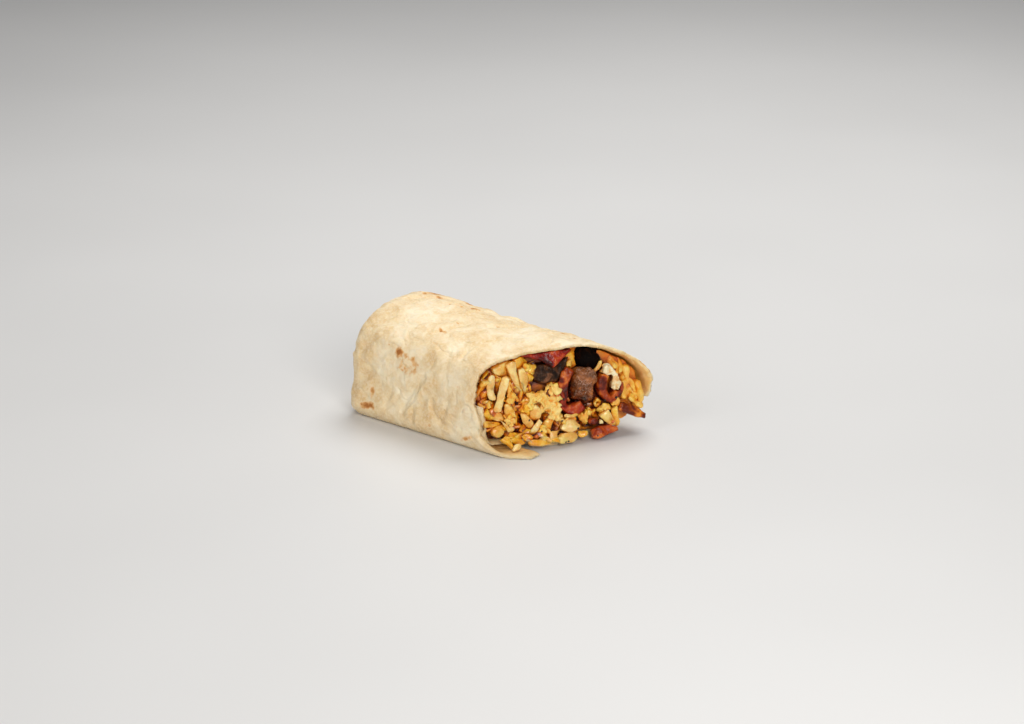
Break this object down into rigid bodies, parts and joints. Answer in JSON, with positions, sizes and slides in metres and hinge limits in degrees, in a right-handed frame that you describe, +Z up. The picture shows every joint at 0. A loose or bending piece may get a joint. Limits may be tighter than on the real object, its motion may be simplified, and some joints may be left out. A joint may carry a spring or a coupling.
{
  "type": "breakfast burrito half",
  "caption": "Half of a breakfast burrito cut on the bias: a rolled flour tortilla round hash browns, scrambled egg, bacon and mushrooms.",
  "frame": {"origin": "middle of the underside of the bounding box, on the table", "axes": "+X along the roll from the closed end to the cut, +Y across the roll to the far wall, +Z up"},
  "size_m": [0.1056, 0.064, 0.0413],
  "materials": {
    "tortilla": "floury cream flour tortilla with toasted brown spots",
    "potato": "moist cream and amber shredded potato",
    "egg": "moist soft yellow curds",
    "bacon": "fried glossy red-brown",
    "bacon_fat": "pale fried fat",
    "mushroom": "dark wet browned mushroom"
  },
  "bodies": {
    "root": {"tortilla": "tortilla", "hash_browns": "potato", "scrambled_egg": "egg", "bacon_top": "bacon", "bacon_curl_middle": "bacon", "bacon_curl_right": "bacon", "bacon_fat_right": "bacon_fat", "bacon_strip_right": "bacon", "bacon_crumb_front": "bacon", "bacon_bit_small": "bacon", "mushroom_slice": "mushroom", "mushroom_chunk": "mushroom", "mushroom_dark": "mushroom"}
  },
  "joints": []
}
